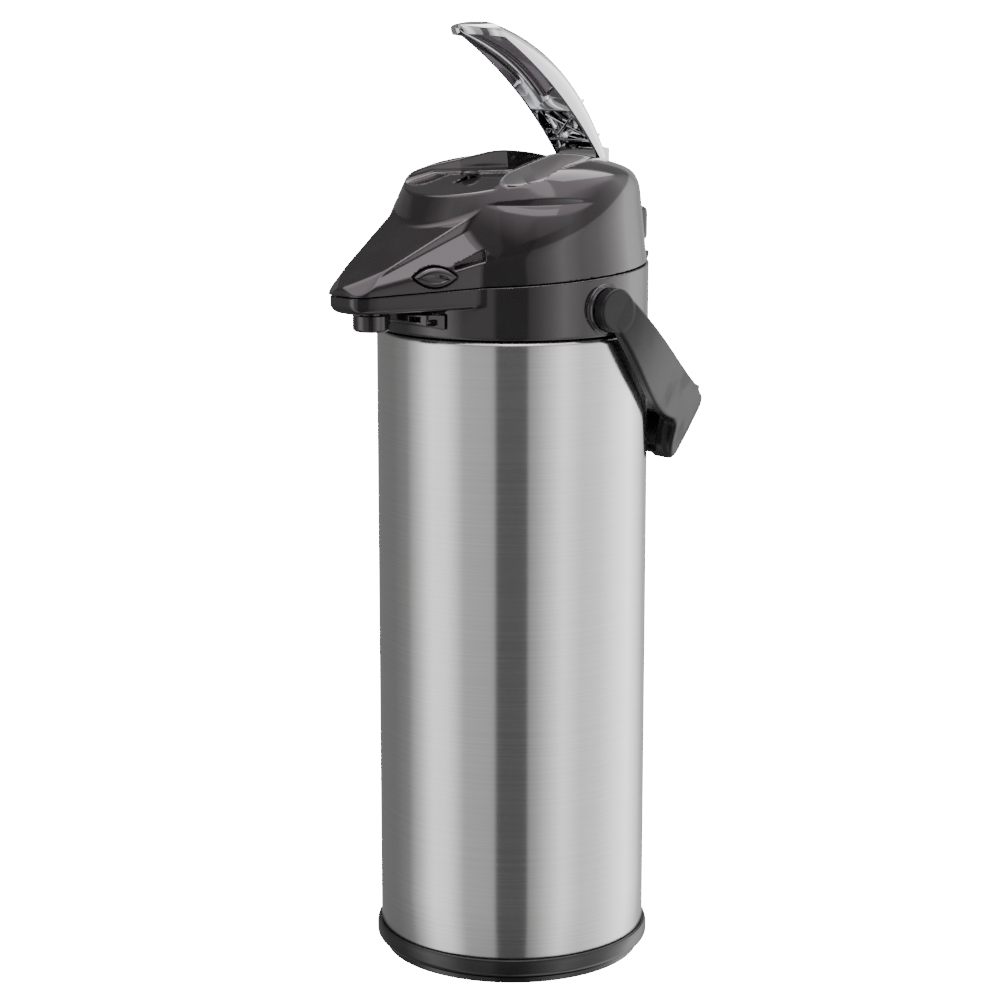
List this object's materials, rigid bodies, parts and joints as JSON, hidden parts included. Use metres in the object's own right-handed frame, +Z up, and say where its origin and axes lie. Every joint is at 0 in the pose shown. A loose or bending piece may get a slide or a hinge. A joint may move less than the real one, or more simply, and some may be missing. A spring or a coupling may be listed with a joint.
{
  "type": "thermal coffee airpot",
  "caption": "Insulated stainless coffee airpot with a chrome pump lever, black beak-shaped pouring head, carrying bail and turntable foot.",
  "frame": {"origin": "centre of the turntable's underside, on the surface that the pot stands on", "axes": "+Z up along the body, -Y towards the pouring beak, +X to the pot's right side when seen from behind the lid hinge looking at the beak"},
  "size_m": [0.1628, 0.217, 0.5036],
  "materials": {
    "steel_shell": "brushed round the body",
    "steel_inner": "plain stainless",
    "chrome_plate": "mirror chrome plate",
    "black_gloss": "black, glossy moulded",
    "black_satin": "black, satin moulded",
    "inner_plastic": "dark grey, plain moulded",
    "silicone": "translucent grey silicone"
  },
  "bodies": {
    "vessel": {"body_shell": "steel_shell", "inner_liner": "steel_inner", "bottom_plate": "steel_inner", "liner_pad": "silicone", "base_ring": "black_satin", "glide_ring": "inner_plastic", "base_screw_1": "steel_inner", "base_screw_2": "steel_inner", "base_screw_3": "steel_inner", "collar": "black_gloss", "lid_hinge_pin": "steel_inner", "stopper": "inner_plastic", "neck_gasket": "silicone", "siphon_tube": "steel_inner", "spout_tube": "inner_plastic", "spout_nozzle": "black_gloss", "nozzle_bracket": "black_gloss", "handle_pin_right": "steel_inner", "handle_pin_left": "steel_inner"},
    "lid": {"lid_cover": "black_gloss", "lid_base": "inner_plastic", "lid_screw_1": "steel_inner", "lid_screw_2": "steel_inner", "lid_screw_3": "steel_inner", "lid_screw_4": "steel_inner", "air_seal": "silicone", "hinge_cover": "black_gloss", "lever_pin": "steel_inner", "bellows": "silicone", "return_spring": "steel_inner"},
    "lever": {"lever": "chrome_plate"},
    "plunger": {"plunger": "inner_plastic"},
    "bail": {"handle": "black_satin"},
    "lock": {"lock_knob": "black_gloss"},
    "button_right": {"latch_button_right": "black_gloss"},
    "button_left": {"latch_button_left": "black_gloss"},
    "turntable": {"swivel_plate": "black_satin", "swivel_washer": "steel_inner", "swivel_screw": "steel_inner"}
  },
  "joints": [
    {"name": "lid_hinge", "type": "hinge", "parent": "vessel", "child": "lid", "pos_m": [0, 0.078, 0.379], "axis": [1, 0, 0], "range_deg": [-95, 0]},
    {"name": "lever_pivot", "type": "hinge", "parent": "lid", "child": "lever", "pos_m": [0, 0.052, 0.424], "axis": [1, 0, 0], "range_deg": [0, 43], "stiffness_Nm_per_rad": 0.6, "springref_deg": -20.05},
    {"name": "plunger_slide", "type": "slide", "parent": "lid", "child": "plunger", "axis": [0, 0, -1], "range_m": [0, 0.0195], "deforming": ["bellows", "return_spring"]},
    {"name": "handle_pivot", "type": "hinge", "parent": "vessel", "child": "bail", "pos_m": [0, 0, 0.3585], "axis": [1, 0, 0], "range_deg": [0, 84]},
    {"name": "lock_slide", "type": "slide", "parent": "lid", "child": "lock", "axis": [0, -0.9962, -0.0872], "range_m": [0, 0.006]},
    {"name": "button_right_press", "type": "slide", "parent": "lid", "child": "button_right", "axis": [-0.8868, 0.4621, 0], "range_m": [0, 0.0025], "stiffness_N_per_m": 400, "springref_m": -0.001},
    {"name": "button_left_press", "type": "slide", "parent": "lid", "child": "button_left", "axis": [0.8868, 0.4621, 0], "range_m": [0, 0.0025], "stiffness_N_per_m": 400, "springref_m": -0.001},
    {"name": "turntable_turn", "type": "hinge", "parent": "vessel", "child": "turntable", "pos_m": [0, 0, 0], "axis": [0, 0, 1], "continuous": true}
  ],
  "couplings": [
    {"joint": "plunger_slide", "follows": "lever_pivot", "m_per_rad": 0.025}
  ]
}
